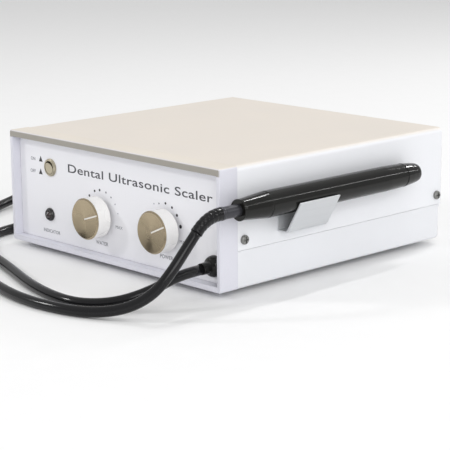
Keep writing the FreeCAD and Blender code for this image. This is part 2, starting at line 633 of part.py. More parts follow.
def pen_body():
    """Outer sleeve: conical tail with a fine groove at its end, nearly parallel grip, open at the nose."""
    outer = [(BODY_TAIL, 5.85), (BODY_TAIL + 0.4, 6.1), (CONE_END, 7.8), (CONE_END + 0.5, 7.65),
             (CONE_END + 1.0, PEN_R), (-10.0, PEN_R), (30.0, 7.8), (CAP_Y - 0.6, 7.3), (CAP_Y, 7.1)]
    inner = [(CAP_Y, 5.4), (BODY_TAIL + 14, 5.4), (BODY_TAIL + 10, 3.1), (BODY_TAIL, 3.1)]
    return turned(PEN_X, PEN_Z, outer + inner)


def nose_cap():
    """Tapered cap with the insert's bore and a rounded front rim."""
    return turned(PEN_X, PEN_Z, [(CAP_Y, INSERT_R), (CAP_Y, 7.1), (CAP_Y + 0.5, 7.35), (CAP_Y + 6, 6.85),
                                 (CAP_Y + 10.5, 6.3), (PEN_NOSE - 2.2, 6.0), (PEN_NOSE - 0.8, 5.6),
                                 (PEN_NOSE, 5.0), (PEN_NOSE, INSERT_R + 0.3), (PEN_NOSE - 0.3, INSERT_R)])


def rear_collar():
    """Narrow ring against the body's tail."""
    return turned(PEN_X, PEN_Z, [(PEN_TAIL, 3.7), (PEN_TAIL, 6.0), (PEN_TAIL + 0.3, 6.3),
                                 (BODY_TAIL - 0.3, 6.3), (BODY_TAIL, 6.0), (BODY_TAIL, 3.7)])


def rear_adapter():
    """Stepped tail piece: spigot inside the body, round neck, small end bead."""
    spigot_end = BODY_TAIL + 6.5
    return turned(PEN_X, PEN_Z, [(ADAPTER_END, 0), (ADAPTER_END, 3.5), (ADAPTER_END + 0.5, 3.95),
                                 (ADAPTER_END + 1.7, 3.95), (ADAPTER_END + 2.2, 3.6), (BODY_TAIL, 3.6),
                                 (BODY_TAIL, 3.05), (spigot_end, 3.05), (spigot_end, 0)])


def pen_boot():
    """Flexible tapered boot that droops along an arc from the adapter's end."""
    rings = 7
    sections = []
    for i in range(rings):
        share = i / (rings - 1)
        angle = math.radians(BOOT_SWEEP * share)
        centre = V(PEN_X, ADAPTER_END - BOOT_BEND_R * math.sin(angle),
                   PEN_Z - BOOT_BEND_R * (1 - math.cos(angle)))
        along = V(0, -math.cos(angle), -math.sin(angle))
        radius = 3.9 - 0.45 * share
        sections.append(Part.Wire(Part.makeCircle(radius, centre, along)))
    return Part.makeLoft(sections, True)


BOOT_GAP = 0.5          # between the boot's end face and the cord
LAST_RUN = 10.0         # straight stretch of the cord behind the boot


def boot_line(reach):
    """A point on the line that leaves the boot's end face, reach beyond it."""
    angle = math.radians(BOOT_SWEEP)
    return (PEN_X, ADAPTER_END - BOOT_BEND_R * math.sin(angle) - reach * math.cos(angle),
            PEN_Z - BOOT_BEND_R * (1 - math.cos(angle)) - reach * math.sin(angle))


BOBBIN_Y0 = -24.0
BOBBIN_Y1 = CAP_Y - 2.0


def coil_bobbin():
    """Thin tube that the insert slides into, with a flange at each end for the winding."""
    profile = [(BOBBIN_Y0, INSERT_R), (BOBBIN_Y0, 5.3), (BOBBIN_Y0 + 1, 5.3), (BOBBIN_Y0 + 1, 4.7),
               (BOBBIN_Y1 - 1, 4.7), (BOBBIN_Y1 - 1, 5.3), (BOBBIN_Y1, 5.3), (BOBBIN_Y1, INSERT_R)]
    return turned(PEN_X, PEN_Z, profile)


def pen_winding():
    """Enamelled wire wound between the bobbin's flanges."""
    return turned(PEN_X, PEN_Z, [(BOBBIN_Y0 + 1.1, 4.72), (BOBBIN_Y0 + 1.1, 5.25), (BOBBIN_Y1 - 1.1, 5.25),
                                 (BOBBIN_Y1 - 1.1, 4.72)])


def pen_water_tube():
    """Fine tube that brings cooling water and the coil's leads from the tail to the bobbin."""
    y0 = BODY_TAIL + 6.7
    return rod(2.4, PEN_X, PEN_Z, y0, BOBBIN_Y0 - 0.4).cut(rod(1.4, PEN_X, PEN_Z, y0 - 1, BOBBIN_Y0 + 1))


# ---- cord put away beside the cabinet ----

def cord_coil():
    """The put-away turns as one rounded ring: three turns side by side in each of two layers."""
    inner = COIL_RADII[0] - CORD_D / 2
    outer = COIL_RADII[-1] + CORD_D / 2
    height = COIL_LAYERS * CORD_D
    x, y = COIL_AT
    ring = post(outer, x, y, 0.05, height + 0.05).cut(post(inner, x, y, -1, height + 1))
    rims = [e for e in ring.Edges if isinstance(e.Curve, Part.Circle)]
    return ring.makeFillet(2.2, rims)


def coil_tie():
    """A soft strap round the bundle of turns, on the side away from the cabinet's front."""
    gap, strap, half_w = 0.1, 1.0, 5.0
    inner = math.sqrt((COIL_RADII[0] - CORD_D / 2) ** 2 - half_w ** 2)
    outer = COIL_RADII[-1] + CORD_D / 2
    height = COIL_LAYERS * CORD_D + 0.05
    x, y = COIL_AT
    loop = box(x - half_w, y + inner - gap - strap, 0.02, x + half_w, y + outer + gap + strap,
               height + gap + strap)
    hole = box(x - half_w - 1, y + inner - gap, -1, x + half_w + 1, y + outer + gap, height + gap)
    return loop.cut(hole)


# ---- inside the cabinet ----

def circuit_board():
    """Bare board with a screw hole in each corner."""
    board = box(BOARD[0], BOARD[1], BOARD_Z, BOARD[2], BOARD[3], BOARD_Z + BOARD_T)
    for x, y in BOARD_HOLES:
        board = board.cut(post(M3_HOLE_R, x, y, BOARD_Z - 1, BOARD_Z + BOARD_T + 1))
    return board


def board_standoffs():
    """Four round spacers between the tray and the board."""
    spacers = []
    for x, y in BOARD_HOLES:
        spacer = post(3.0, x, y, FLOOR_IN, BOARD_Z)
        spacers.append(spacer.cut(post(M3_HOLE_R, x, y, FLOOR_IN - 1, BOARD_Z + 1)))
    return Part.makeCompound(spacers)


def capacitors():
    """Three electrolytic capacitors in a row."""
    top = BOARD_Z + BOARD_T
    cans = []
    for i in range(3):
        can = post(6.5, 4.0 + 16.0 * i, 28.0, top, top + 24)
        cans.append(can.makeFillet(0.8, [e for e in can.Edges if isinstance(e.Curve, Part.Circle)]))
    return Part.makeCompound(cans)


def board_connectors():
    """Pin headers along the front and rear edges of the board."""
    top = BOARD_Z + BOARD_T
    blocks = []
    for x, y, length in ((0.0, -40.0, 20.0), (34.0, -40.0, 15.0), (60.0, -40.0, 12.0), (66.0, 27.0, 15.0)):
        block = box(x, y, top, x + length, y + 6, top + 9)
        blocks.append(block.cut(box(x + 1, y + 1, top + 3, x + length - 1, y + 5, top + 10)))
    return Part.makeCompound(blocks)


HEATSINK = (8.0, -14.0, 64.0, 12.0)     # x0, y0, x1, y1
HEATSINK_H = 32.0


def heatsink():
    """Finned aluminium block on the board."""
    x0, y0, x1, y1 = HEATSINK
    top = BOARD_Z + BOARD_T
    fins = [box(x0, y0, top, x1, y0 + 3.0, top + HEATSINK_H)]
    count = 9
    fin_t = 1.6
    pitch = (x1 - x0 - fin_t) / (count - 1)
    for i in range(count):
        fin_x = x0 + pitch * i
        fins.append(box(fin_x, y0 + 2.5, top, fin_x + fin_t, y1, top + HEATSINK_H))
    return fuse_all(fins)


def power_transistors():
    """Two flat-pack transistors clamped to the heatsink's back."""
    x0, y0, x1, _ = HEATSINK
    top = BOARD_Z + BOARD_T
    packs = []
    for x in (x0 + 12, x1 - 22):
        pack = box(x, y0 - 4.4, top + 5, x + 10, y0 - 0.05, top + 21)
        legs = [box(x + dx, y0 - 2.8, top, x + dx + 0.8, y0 - 2.3, top + 6) for dx in (1.9, 4.6, 7.3)]
        packs.append(fuse_all([pack] + legs))
    return Part.makeCompound(packs)


CORE_SCREWS = [(CORE[0] + 6, CORE[1] - 5), (CORE[2] - 6, CORE[1] - 5),
               (CORE[0] + 6, CORE[3] + 5), (CORE[2] - 6, CORE[3] + 5)]
CORE_Z = FLOOR_IN + 4.0
LIMB_W = 18.0
YOKE = 9.0
WINDOW_W = (CORE[2] - CORE[0] - LIMB_W - 2 * YOKE) / 2


def transformer_core():
    """Laminated core: three upright limbs joined by two yokes."""
    x0, y0, x1, y1 = CORE
    core = box(x0, y0, CORE_Z, x1, y1, CORE_Z + CORE_H)
    for left in (x0 + YOKE, x1 - YOKE - WINDOW_W):
        core = core.cut(box(left, y0 - 1, CORE_Z + YOKE, left + WINDOW_W, y1 + 1, CORE_Z + CORE_H - YOKE))
    return core


def transformer_winding():
    """Taped winding round the centre limb, standing proud of both faces of the core."""
    x0, y0, x1, y1 = CORE
    gap = 0.4
    z0, z1 = CORE_Z + YOKE + gap, CORE_Z + CORE_H - YOKE - gap
    limb_x = (x0 + x1) / 2 - LIMB_W / 2
    outer = box(x0 + YOKE + gap, y0 - 9, z0, x1 - YOKE - gap, y1 + 9, z1)
    outer = outer.makeFillet(7.0, edges_along(outer, Z))
    return outer.cut(box(limb_x - gap, y0 - gap, z0 - 1, limb_x + LIMB_W + gap, y1 + gap, z1 + 1))


def transformer_mount():
    """Folded steel mount under the core, standing on two rails that are screwed to the tray."""
    x0, y0, x1, y1 = CORE
    plate = box(x0, y0 - 9.0, FLOOR_IN, x1, y1 + 9.0, CORE_Z)
    plate = plate.cut(box(x0 - 1, y0 + 4, FLOOR_IN - 1, x1 + 1, y1 - 4, CORE_Z - 1.5))
    for x, y in CORE_SCREWS:
        plate = plate.cut(post(M3_HOLE_R, x, y, FLOOR_IN - 1, CORE_Z + 1))
    return plate


VALVE_BARB = 8.0        # length of the solenoid valve's hose barb
GUIDE_R = 4.3           # bore that the plunger slides in
INLET_WAY_R = 1.3


def solenoid_valve():
    """Brass water valve: square body, guide for the plunger and a hose barb on its side."""
    x0, y0, x1, y1 = VALVE
    mx, my = VALVE_MID
    top = FLOOR_IN + VALVE_H
    block = box(x0, y0, FLOOR_IN, x1, y1, top)
    barb = Part.makeCylinder(HOSE_R, VALVE_BARB + 1, V(x0 - VALVE_BARB, my, INLET_AT[1]), X)
    shape = fuse_all([block, barb, post(6.0, mx, my, top, top + 4)])
    inlet_way = rod(INLET_WAY_R, INLET_AT[0], INLET_AT[1], my, y1 + 1)
    outlet_way = Part.makeCylinder(WATERWAY_R, mx - x0 + VALVE_BARB + 1,
                                   V(x0 - VALVE_BARB - 1, my, INLET_AT[1]), X)
    return shape.cut(post(GUIDE_R, mx, my, FLOOR_IN + 9, top + 5)).cut(inlet_way).cut(outlet_way)


def solenoid_coil():
    """Moulded coil on the valve, with a thin-walled guide tube for the plunger inside it."""
    mx, my = VALVE_MID
    z0 = FLOOR_IN + VALVE_H + 4.2
    shell = box(mx - 12, my - 12, z0, mx + 12, my + 12, z0 + 27)
    shell = shell.makeFillet(3.0, edges_along(shell, Z))
    return shell.cut(post(GUIDE_R, mx, my, z0 - 1, z0 + 23))


def solenoid_plunger():
    """Steel plunger with the pad that closes the valve."""
    mx, my = VALVE_MID
    z0 = FLOOR_IN + 9.4
    body = post(3.8, mx, my, z0 + 1.2, z0 + 28)
    seat_pad = post(2.6, mx, my, z0, z0 + 1.3)
    return body.fuse(seat_pad).removeSplitter()


def mains_inlet():
    """Shrouded three-pin mains inlet; its flange lies on the rear wall's outside."""
    x, z = MAINS_AT
    flange = box(x - 16.5, REAR_FACE, z - 12.5, x + 16.5, REAR_FACE + 2.5, z + 12.5)
    flange = flange.makeFillet(2.5, edges_along(flange, Y))
    shroud = box(x - 13.5, REAR_FACE - 18, z - 9.8, x + 13.5, REAR_FACE + 1, z + 9.8)
    cavity = box(x - 12.0, REAR_FACE - 14.5, z - 8.2, x + 12.0, REAR_FACE + 3, z + 8.2)
    cavity = cavity.makeChamfer(4.0, edges_along(cavity, Y, lambda p: p.z < z))
    shape = flange.fuse(shroud).removeSplitter().cut(cavity)
    pins = [box(x + dx - 1.0, REAR_FACE - 25, z + dz - 2.0, x + dx + 1.0, REAR_FACE - 3, z + dz + 2.0)
            for dx, dz in ((-7.0, -1.2), (7.0, -1.2), (0.0, 2.4))]
    return fuse_all([shape] + pins)


def fuse_holder():
    """Panel fuse holder: tube inside, flanged rim and slotted cap outside."""
    x, z = FUSE_AT
    barrel = rod(6.0, x, z, REAR_FACE - 32, REAR_FACE + 0.5)
    rim = rod(8.0, x, z, REAR_FACE, REAR_FACE + 2.0)
    cavity = rod(4.6, x, z, REAR_FACE - 30, REAR_FACE + 3)
    tags = [box(x - 0.3, REAR_FACE - 38, z - 2, x + 0.3, REAR_FACE - 31.5, z + 2)]
    return fuse_all([barrel.cut(cavity), rim.cut(cavity)] + tags)


def fuse_cap():
    """Slotted bayonet cap of the fuse holder."""
    x, z = FUSE_AT
    rim_y, crest = REAR_FACE + 2.1, REAR_FACE + 8.0
    cap = turned(x, z, [(REAR_FACE - 6, 0), (REAR_FACE - 6, 4.4), (rim_y, 4.4), (rim_y, 6.0),
                        (crest - 0.6, 5.6), (crest, 5.0), (crest, 0)])
    return cap.cut(box(x - 6, crest - 1.4, z - 0.6, x + 6, crest + 1, z + 0.6))


JACK_BARREL_R = 4.5
INLET_STEM_R = 4.0


def footswitch_jack():
    """6.35 mm socket for the foot switch's plug."""
    x, z = JACK_AT
    shape = fuse_all([rod(JACK_BARREL_R, x, z, REAR_IN - 0.5, REAR_FACE + 5),
                      rod(7.5, x, z, REAR_IN - 22, REAR_IN)])
    plug_r = 3.25
    return shape.cut(rod(plug_r, x, z, REAR_IN - 19, REAR_FACE + 6))


def jack_nut():
    """Hexagon nut on the socket, outside the rear wall."""
    x, z = JACK_AT
    nut = hexagon(x, z, 12.0, REAR_FACE, REAR_FACE + 2.4)
    return nut.cut(rod(JACK_BARREL_R + SNUG, x, z, REAR_FACE - 1, REAR_FACE + 3))


def water_inlet():
    """Brass bulkhead fitting: hose spigot outside, threaded stem inside that ends in the valve's face."""
    x, z = INLET_AT
    spigot_r = 3.2
    tip = REAR_FACE + 19.0
    outline = [(VALVE[3], 0), (VALVE[3], INLET_STEM_R), (REAR_FACE, INLET_STEM_R), (REAR_FACE, 5.5),
               (REAR_FACE + 4, 5.5), (REAR_FACE + 5, spigot_r), (tip - 1, spigot_r), (tip, spigot_r - 0.6),
               (tip, 0)]
    body = turned(x, z, outline)
    return body.cut(rod(INLET_WAY_R, x, z, VALVE[3] - 1, tip + 1))


def inlet_nut():
    """Hexagon nut that holds the water inlet from inside."""
    x, z = INLET_AT
    nut = hexagon(x, z, 11.0, REAR_IN - 3.3, REAR_IN)
    return nut.cut(rod(INLET_STEM_R + SNUG, x, z, REAR_IN - 4, REAR_IN + 1))


# Soft hose from the solenoid valve past the transformer to the needle valve's rear barb.
TO_NEEDLE_VALVE = [
    (VALVE[0] - VALVE_BARB, VALVE_MID[1], INLET_AT[1]),
    (20.0, VALVE_MID[1], INLET_AT[1]),
    (0.0, 68.0, 19.0),
    (-14.5, 54.0, 21.0),
    (-23.5, 36.0, 24.0),
    (-25.5, 12.0, 28.0),
    (-22.0, -13.0, 31.0),
    (WATER_AT[0], -36.0, WATER_AT[1]),
    (WATER_AT[0], VALVE_TAIL, WATER_AT[1]),
]
# Soft hose from the needle valve's side barb to the gland.
TO_GLAND = [
    (WATER_AT[0] + VALVE_ARM, VALVE_ARM_Y, WATER_AT[1]),
    (22.1, VALVE_ARM_Y, WATER_AT[1]),
    (35.9, -69.2, 31.5),
    (45.3, -55.9, 30.0),
    (61.0, -50.0, 27.0),
    (77.0, -54.6, 22.6),
    (GLAND_AT[0], -68.4, GLAND_AT[1]),
    (GLAND_AT[0], GLAND_INNER, GLAND_AT[1]),
]


def main():
    os.makedirs("parts", exist_ok=True)
    save("front_bezel", front_bezel())
    save("front_panel", panel_blank(LABEL_BACK, PANEL_BACK))
    save("panel_overlay", panel_blank(PANEL_FACE, LABEL_BACK))
    save("top_cover", top_cover())
    save("chassis_tray", chassis_tray())
    save("housing_screws", housing_screws())
    save("feet", feet())
    save("chassis_screws", chassis_screws())
    save("holder_bracket", holder_bracket())
    save("holder_rivets", holder_rivets())

    save("water_knob", knob(WATER_AT, WATER_POINTER))
    save("water_knob_set_screw", set_screw(WATER_AT))
    save("water_valve_body", valve_body())
    save("water_valve_stem", valve_stem())
    save("water_valve_nut", panel_nut(WATER_AT, 14.0, VALVE_BUSHING_R))
    save("power_knob", knob(POWER_AT, POWER_POINTER))
    save("power_knob_set_screw", set_screw(POWER_AT))
    save("potentiometer_body", pot_body())
    save("potentiometer_shaft", pot_shaft())
    save("potentiometer_nut", panel_nut(POWER_AT, 10.0, POT_BUSHING_R))
    save("switch_rocker", switch_rocker())
    save("switch_ring", switch_ring())
    save("switch_body", switch_body())
    save("indicator_bezel", lamp_bezel())
    save("indicator_lamp", lamp_lens())
    save("cord_gland", cord_gland())
    save("cord_gland_nut", gland_nut())

    save("handpiece_body", pen_body())
    save("handpiece_nose_cap", nose_cap())
    save("handpiece_collar", rear_collar())
    save("handpiece_adapter", rear_adapter())
    save("handpiece_boot", pen_boot())
    save("handpiece_bobbin", coil_bobbin())
    save("handpiece_winding", pen_winding())
    save("handpiece_water_tube", pen_water_tube())

    to_boot = HANDPIECE_RUN + [boot_line(BOOT_GAP + LAST_RUN), boot_line(BOOT_GAP)]
    total = tube("cord_gland_run", GLAND_RUN, CORD_D)
    total += tube("cord_handpiece_run", to_boot, CORD_D)
    total += COIL_LAYERS * 2 * math.pi * sum(COIL_RADII)
    print("cord length with its coil %.0f mm" % total)
    save("cord_coil", cord_coil())
    save("coil_tie", coil_tie())

    save("circuit_board", circuit_board())
    save("board_standoffs", board_standoffs())
    save("capacitors", capacitors())
    save("board_connectors", board_connectors())
    save("heatsink", heatsink())
    save("power_transistors", power_transistors())
    save("transformer_core", transformer_core())
    save("transformer_winding", transformer_winding())
    save("transformer_mount", transformer_mount())
    save("solenoid_valve", solenoid_valve())
    save("solenoid_coil", solenoid_coil())
    save("solenoid_plunger", solenoid_plunger())
    save("mains_inlet", mains_inlet())
    save("fuse_holder", fuse_holder())
    save("fuse_cap", fuse_cap())
    save("footswitch_jack", footswitch_jack())
    save("jack_nut", jack_nut())
    save("water_inlet", water_inlet())
    save("inlet_nut", inlet_nut())
    tube("needle_valve_hose", TO_NEEDLE_VALVE, 2 * HOSE_R)
    tube("gland_hose", TO_GLAND, 2 * HOSE_R)


main()
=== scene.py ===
import math

import bpy
from mathutils import Matrix, Vector


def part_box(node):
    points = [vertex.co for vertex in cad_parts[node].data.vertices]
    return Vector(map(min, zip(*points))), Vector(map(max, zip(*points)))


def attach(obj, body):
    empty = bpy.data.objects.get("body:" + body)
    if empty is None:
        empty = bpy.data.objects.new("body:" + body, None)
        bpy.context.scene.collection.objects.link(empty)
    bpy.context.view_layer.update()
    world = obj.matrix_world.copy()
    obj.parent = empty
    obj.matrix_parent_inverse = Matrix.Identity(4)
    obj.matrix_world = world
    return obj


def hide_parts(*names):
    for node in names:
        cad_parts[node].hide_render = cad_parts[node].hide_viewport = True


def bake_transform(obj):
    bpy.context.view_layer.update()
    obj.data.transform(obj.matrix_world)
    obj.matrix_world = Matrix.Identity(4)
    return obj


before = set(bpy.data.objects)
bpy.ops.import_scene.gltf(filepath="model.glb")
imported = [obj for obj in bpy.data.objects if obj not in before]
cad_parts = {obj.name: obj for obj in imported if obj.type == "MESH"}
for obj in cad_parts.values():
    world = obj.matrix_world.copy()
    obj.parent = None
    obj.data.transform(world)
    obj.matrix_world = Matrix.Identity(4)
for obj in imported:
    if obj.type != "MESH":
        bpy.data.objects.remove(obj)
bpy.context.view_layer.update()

MM = 0.001      # the sizes below are in millimetres, unless a comment says otherwise


def mm(*values):
    """A point given in millimetres, in metres."""
    return Vector(values) * MM


# ---- camera ----

CAMERA_AT = (741.6, -704.5, 247.5)
AZIMUTH, ELEVATION, ROLL = 46.5075, 12.939, -0.5252     # in degrees
FOCAL_LENGTH, SENSOR_WIDTH = 129.438, 36.0
CLIP_NEAR, CLIP_FAR = 0.05, 30.0                        # in metres


def add_camera():
    a, e, r = (math.radians(v) for v in (AZIMUTH, ELEVATION, ROLL))
    back = Vector((math.sin(a) * math.cos(e), -math.cos(a) * math.cos(e), math.sin(e)))
    right = Vector((math.cos(a), math.sin(a), 0.0))
    up = back.cross(right)
    right_rolled = math.cos(r) * right + math.sin(r) * up
    up_rolled = -math.sin(r) * right + math.cos(r) * up
    data = bpy.data.cameras.new("camera")
    data.lens = FOCAL_LENGTH
    data.sensor_width = SENSOR_WIDTH
    data.clip_start = CLIP_NEAR
    data.clip_end = CLIP_FAR
    camera = bpy.data.objects.new("camera", data)
    rotation = Matrix((right_rolled, up_rolled, back)).transposed()
    camera.matrix_world = Matrix.Translation(mm(*CAMERA_AT)) @ rotation.to_4x4()
    bpy.context.scene.collection.objects.link(camera)
    bpy.context.scene.camera = camera


add_camera()


# ---- mesh helpers ----

def add_mesh(name, vertices, faces, material, smooth=True):
    mesh = bpy.data.meshes.new(name)
    mesh.from_pydata([tuple(v) for v in vertices], [], faces)
    mesh.validate()
    mesh.polygons.foreach_set("use_smooth", [smooth] * len(mesh.polygons))
    mesh.materials.append(material)
    obj = bpy.data.objects.new(name, mesh)
    bpy.context.scene.collection.objects.link(obj)
    return obj


def mesh_of(data):
    """The mesh that a curve or a text makes."""
    holder = bpy.data.objects.new(data.name, data)
    bpy.context.scene.collection.objects.link(holder)
    mesh = bpy.data.meshes.new_from_object(holder)
    bpy.data.objects.remove(holder)
    return mesh


def ring_faces(first, second, sides):
    """Faces between two rings of vertices, which are given by their numbers."""
    faces = []
    for k in range(sides):
        n = (k + 1) % sides
        faces.append((first * sides + k, first * sides + n, second * sides + n, second * sides + k))
    return faces


def ring_frames(points):
    """Each point of a line with two directions across it that turn as little as possible."""
    frames = []
    across = None
    for i, point in enumerate(points):
        before = points[max(i - 1, 0)]
        after = points[min(i + 1, len(points) - 1)]
        along = (after - before).normalized()
        if across is None:
            across = along.cross(Vector((0, 0, 1))).normalized()
        across = (across - along * across.dot(along)).normalized()
        frames.append((point, across, along.cross(across)))
    return frames


def swept(points, radii, sides):
    """Vertices and faces of a closed tube through the points, with a radius at each."""
    vertices, faces = [], []
    for (centre, u, v), radius in zip(ring_frames(points), radii):
        for k in range(sides):
            turn = 2 * math.pi * k / sides
            vertices.append(centre + u * (radius * math.cos(turn)) + v * (radius * math.sin(turn)))
    count = len(points)
    for i in range(count - 1):
        faces += ring_faces(i, i + 1, sides)
    faces.append(tuple(reversed(range(sides))))
    faces.append(tuple(range((count - 1) * sides, count * sides)))
    return vertices, faces


def bevelled_plate(outline, y_front, y_back, bevel):
    """Vertices and faces of a thin plate that faces -Y, with a bevelled front and an (x, z) outline."""
    cx = sum(p[0] for p in outline) / len(outline)
    cz = sum(p[1] for p in outline) / len(outline)
    vertices = []
    for y, inset in ((y_back, 0.0), (y_front + bevel, 0.0), (y_front, bevel)):
        for x, z in outline:
            reach = math.hypot(x - cx, z - cz)
            share = (reach - inset) / reach
            vertices.append(mm(cx + (x - cx) * share, y, cz + (z - cz) * share))
    n = len(outline)
    faces = [tuple(range(2 * n, 3 * n)), tuple(reversed(range(n)))]
    faces += ring_faces(0, 1, n) + ring_faces(1, 2, n)
    return vertices, faces


def rounded_rectangle(width, height, corner, steps):
    """Points round a rectangle with rounded corners, from its middle, each with its outward direction."""
    for quarter, (sx, sy) in enumerate(((1, 1), (-1, 1), (-1, -1), (1, -1))):
        for k in range(steps + 1):
            turn = math.radians(90 * quarter + 90 * k / steps)
            ox, oy = math.cos(turn), math.sin(turn)
            yield sx * (width / 2 - corner) + corner * ox, sy * (height / 2 - corner) + corner * oy, ox, oy


# ---- material helpers ----

NOISE_LOW, NOISE_HIGH = 0.3, 0.7        # most of a noise's values lie between these
STRIPE_LOW, STRIPE_HIGH = -0.4, 0.6     # the values of a sine between which a stripe fades out
WEAR = 0.06                             # how far the roughness varies to either side
LEAST_ROUGHNESS = 0.02
COAT_ROUGHNESS = 0.08


def empty_tree(owner):
    """The node tree of a material or a world, cleared."""
    owner.use_nodes = True
    owner.node_tree.nodes.clear()
    return owner.node_tree


def add_node(tree, kind, inputs=None, **settings):
    made = tree.nodes.new(kind)
    for key, value in settings.items():
        setattr(made, key, value)
    for key, value in (inputs or {}).items():
        if isinstance(value, bpy.types.NodeSocket):
            tree.links.new(value, made.inputs[key])
        else:
            made.inputs[key].default_value = value
    return made


def remap(tree, value, low, high, new_low=0.0, new_high=1.0):
    """The value with the range low to high carried over to new_low to new_high, and held at those ends."""
    return add_node(tree, "ShaderNodeMapRange", {"Value": value, "From Min": low, "From Max": high,
                                                 "To Min": new_low, "To Max": new_high}).outputs[0]


def calculate(tree, operation, *values):
    return add_node(tree, "ShaderNodeMath", dict(enumerate(values)), operation=operation).outputs[0]


def component(tree, vector, axis):
    return add_node(tree, "ShaderNodeSeparateXYZ", {"Vector": vector}).outputs[axis]


def mix(tree, share, first, second):
    """The first colour where the share is 0, the second where it is 1."""
    return add_node(tree, "ShaderNodeMix", {"Factor": share, "A": first, "B": second},
                    data_type="RGBA").outputs["Result"]


def tone(colour, factor):
    return (*(min(c * factor, 1.0) for c in colour), 1.0)


def two_tone(tree, colour, spread, share):
    """The colour, from a little darker to a little lighter."""
    return mix(tree, share, tone(colour, 1 - spread), tone(colour, 1 + spread))


def zone_share(tree, sources, tests):
    """How far a place lies in a zone: the product of the zone's tests."""
    share = None
    for source, axis, low, high in tests:
        step = remap(tree, component(tree, sources[source], axis), low, high)
        share = step if share is None else calculate(tree, "MULTIPLY", share, step)
    return share


def surface(name, colour, roughness, grain, depth, spread, metallic=0.0, specular=0.5, coat=0.0,
            transmission=0.0, anisotropy=0.0, stretch=(1, 1, 1), patches=25.0, edge=0.0, zones=(),
            stripes=None):
    """A finish with a fine grain, slow patches of tone and worn roughness, in the piece's own coordinates.

    grain and patches are the scales of the two noises, and spread is how far the tone varies. depth is the
    height of the grain and edge the radius of the softened edges, both in millimetres. A zone is (colour,
    metallic, tests) and a test is (source, axis, low, high). Its source is "place", the place on the piece in
    metres, or "normal", the way its surface faces. Stripes are (axis, number per metre, colour).
    """
    material = bpy.data.materials.new(name)
    tree = empty_tree(material)
    place = add_node(tree, "ShaderNodeTexCoord").outputs["Object"]
    normal = add_node(tree, "ShaderNodeNewGeometry").outputs["Normal"]
    scaled = add_node(tree, "ShaderNodeMapping", {"Vector": place, "Scale": stretch}).outputs["Vector"]
    fine = add_node(tree, "ShaderNodeTexNoise", {"Vector": scaled, "Scale": grain, "Detail": 4.0,
                                                 "Roughness": 0.55}).outputs[0]
    slow = add_node(tree, "ShaderNodeTexNoise", {"Vector": place, "Scale": patches, "Detail": 3.0}).outputs[0]
    both = add_node(tree, "ShaderNodeMix", {"Factor": 0.5, "A": fine, "B": slow}).outputs["Result"]
    ramp = remap(tree, both, NOISE_LOW, NOISE_HIGH)
    shade = two_tone(tree, colour, spread, ramp)
    metal = metallic
    for zone_colour, zone_metallic, tests in zones:
        share = zone_share(tree, {"place": place, "normal": normal}, tests)
        shade = mix(tree, share, shade, two_tone(tree, zone_colour, spread, ramp))
        if zone_metallic != metallic:
            metal = remap(tree, share, 0.0, 1.0, metallic, zone_metallic)
    if stripes:
        axis, count, stripe_colour = stripes
        wave = calculate(tree, "MULTIPLY", component(tree, place, axis), count * 2 * math.pi)
        base_share = remap(tree, calculate(tree, "SINE", wave), STRIPE_LOW, STRIPE_HIGH)
        shade = mix(tree, base_share, (*stripe_colour, 1.0), shade)
    worn = remap(tree, slow, NOISE_LOW, NOISE_HIGH, max(roughness - WEAR, LEAST_ROUGHNESS),
                 min(roughness + WEAR, 1.0))
    bump = add_node(tree, "ShaderNodeBump", {"Height": fine, "Strength": 1.0, "Distance": depth * MM})
    if edge:
        bevel = add_node(tree, "ShaderNodeBevel", {"Radius": edge * MM}, samples=4)
        tree.links.new(bevel.outputs["Normal"], bump.inputs["Normal"])
    shader = add_node(tree, "ShaderNodeBsdfPrincipled", {
        "Base Color": shade, "Roughness": worn, "Metallic": metal, "Specular IOR Level": specular,
        "Coat Weight": coat, "Coat Roughness": COAT_ROUGHNESS, "Transmission Weight": transmission,
        "Normal": bump.outputs["Normal"]})
    if anisotropy:
        tangent = add_node(tree, "ShaderNodeTangent", direction_type="RADIAL", axis="Y")
        shader.inputs["Anisotropic"].default_value = anisotropy
        tree.links.new(tangent.outputs["Tangent"], shader.inputs["Tangent"])
    add_node(tree, "ShaderNodeOutputMaterial", {"Surface": shader.outputs["BSDF"]})
    return material


# ---- materials ----

FACES_UP = ("normal", "Z", 0.45, 0.95)
# Painted warm light: the cover's faces that look up are tinted cream, though the top is the same white enamel
# as the sides.
PAINTED_WARM_LIGHT_TOP = ((0.76, 0.70, 0.63), 0.0, [FACES_UP])
# The bezel's top rail has painted warm light (cream) on its upper side and a painted shade line (dark) on its
# front.
PAINTED_WARM_LIGHT_RAIL = ((0.76, 0.70, 0.62), 0.0, [FACES_UP, ("place", "Z", 0.0740, 0.0745)])
PAINTED_SHADE_RAIL_FRONT = ((0.33, 0.31, 0.275), 0.0, [("normal", "Y", -0.6, -0.9), ("place", "Z", 0.0712, 0.0718),
                                        ("place", "Z", 0.0756, 0.0751)])
# Painted reflection: a knob's front face is tinted warm bronze, standing in for the warm surroundings it
# reflects.
PAINTED_REFLECTION_KNOB_FACE = ((0.44, 0.365, 0.25), 1.0, [("normal", "Y", -0.5, -0.68)])

